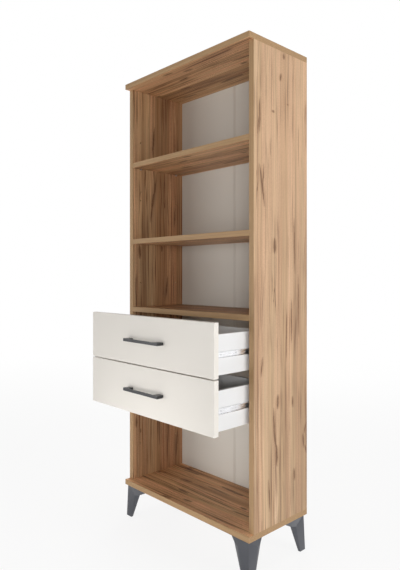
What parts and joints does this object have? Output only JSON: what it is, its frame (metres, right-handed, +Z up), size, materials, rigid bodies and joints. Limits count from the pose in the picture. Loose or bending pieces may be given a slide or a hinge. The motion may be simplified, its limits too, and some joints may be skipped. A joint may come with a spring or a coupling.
{
  "type": "bookcase with drawers",
  "caption": "Tall open bookcase in rustic oak decor with white drawers on ball-bearing rails in its lower half, an open bay below them, and tapered dark corner legs.",
  "frame": {"origin": "on the floor, under the middle of the whole object's box with the drawers pulled out as they rest here; the side panels' front edges are 39.5 mm in front of it", "axes": "+X to the viewer's right along the width, +Y from the open front to the back, +Z up"},
  "size_m": [0.6, 0.461, 1.61],
  "materials": {
    "oak_board": "light rustic oak decor on chipboard, satin, with darker streaks and small knots",
    "back_board": "thin pale grey-white hardboard, matt",
    "strip_plastic": "pale extruded joint strip",
    "front_lacquer": "off-white silk lacquered board",
    "drawer_board": "bright white melamine board",
    "leg_plastic": "anthracite moulded plastic, satin",
    "handle_metal": "anthracite powder-coated die-cast metal, satin",
    "rail_steel": "bright zinc-plated rolled steel",
    "screw_steel": "zinc-plated steel",
    "cam_metal": "raw die-cast zinc",
    "dowel_wood": "plain beech",
    "cage_plastic": "black moulded plastic",
    "ball_steel": "polished steel balls"
  },
  "bodies": {
    "carcass": {"left_side_panel": "oak_board", "right_side_panel": "oak_board", "top_panel": "oak_board", "bottom_panel": "oak_board", "upper_shelf": "oak_board", "middle_shelf": "oak_board", "cover_shelf": "oak_board", "left_back_panel": "back_board", "right_back_panel": "back_board", "back_joint_strip": "strip_plastic", "front_left_leg": "leg_plastic", "front_right_leg": "leg_plastic", "rear_left_leg": "leg_plastic", "rear_right_leg": "leg_plastic", "leg_screws": "screw_steel", "confirmat_screws": "screw_steel", "outer_rail_screws": "screw_steel", "shelf_cam_discs": "cam_metal", "shelf_cam_bolts": "screw_steel", "shelf_pins": "screw_steel", "end_dowels": "dowel_wood", "upper_left_outer_rail": "rail_steel", "upper_right_outer_rail": "rail_steel", "lower_left_outer_rail": "rail_steel", "lower_right_outer_rail": "rail_steel"},
    "upper_drawer": {"upper_drawer_front": "front_lacquer", "upper_drawer_left_side": "drawer_board", "upper_drawer_right_side": "drawer_board", "upper_drawer_back": "drawer_board", "upper_drawer_base": "drawer_board", "upper_drawer_handle": "handle_metal", "upper_drawer_handle_screws": "screw_steel", "upper_drawer_left_inner_rail": "rail_steel", "upper_drawer_right_inner_rail": "rail_steel", "upper_drawer_rail_screws": "screw_steel", "upper_drawer_back_screws": "screw_steel", "upper_drawer_cam_discs": "cam_metal", "upper_drawer_cam_bolts": "screw_steel"},
    "lower_drawer": {"lower_drawer_front": "front_lacquer", "lower_drawer_left_side": "drawer_board", "lower_drawer_right_side": "drawer_board", "lower_drawer_back": "drawer_board", "lower_drawer_base": "drawer_board", "lower_drawer_handle": "handle_metal", "lower_drawer_handle_screws": "screw_steel", "lower_drawer_left_inner_rail": "rail_steel", "lower_drawer_right_inner_rail": "rail_steel", "lower_drawer_rail_screws": "screw_steel", "lower_drawer_back_screws": "screw_steel", "lower_drawer_cam_discs": "cam_metal", "lower_drawer_cam_bolts": "screw_steel"},
    "upper_ball_cages": {"upper_left_ball_cage": "cage_plastic", "upper_right_ball_cage": "cage_plastic", "upper_rail_balls": "ball_steel"},
    "lower_ball_cages": {"lower_left_ball_cage": "cage_plastic", "lower_right_ball_cage": "cage_plastic", "lower_rail_balls": "ball_steel"}
  },
  "joints": [
    {"name": "upper_drawer_slide", "type": "slide", "parent": "carcass", "child": "upper_drawer", "axis": [0, -1, 0], "range_m": [-0.146, 0.034]},
    {"name": "upper_ball_cage_slide", "type": "slide", "parent": "carcass", "child": "upper_ball_cages", "axis": [0, -1, 0], "range_m": [-0.073, 0.017]},
    {"name": "lower_drawer_slide", "type": "slide", "parent": "carcass", "child": "lower_drawer", "axis": [0, -1, 0], "range_m": [-0.146, 0.034]},
    {"name": "lower_ball_cage_slide", "type": "slide", "parent": "carcass", "child": "lower_ball_cages", "axis": [0, -1, 0], "range_m": [-0.073, 0.017]}
  ],
  "couplings": [
    {"joint": "upper_ball_cage_slide", "follows": "upper_drawer_slide", "ratio": 0.5},
    {"joint": "lower_ball_cage_slide", "follows": "lower_drawer_slide", "ratio": 0.5}
  ]
}
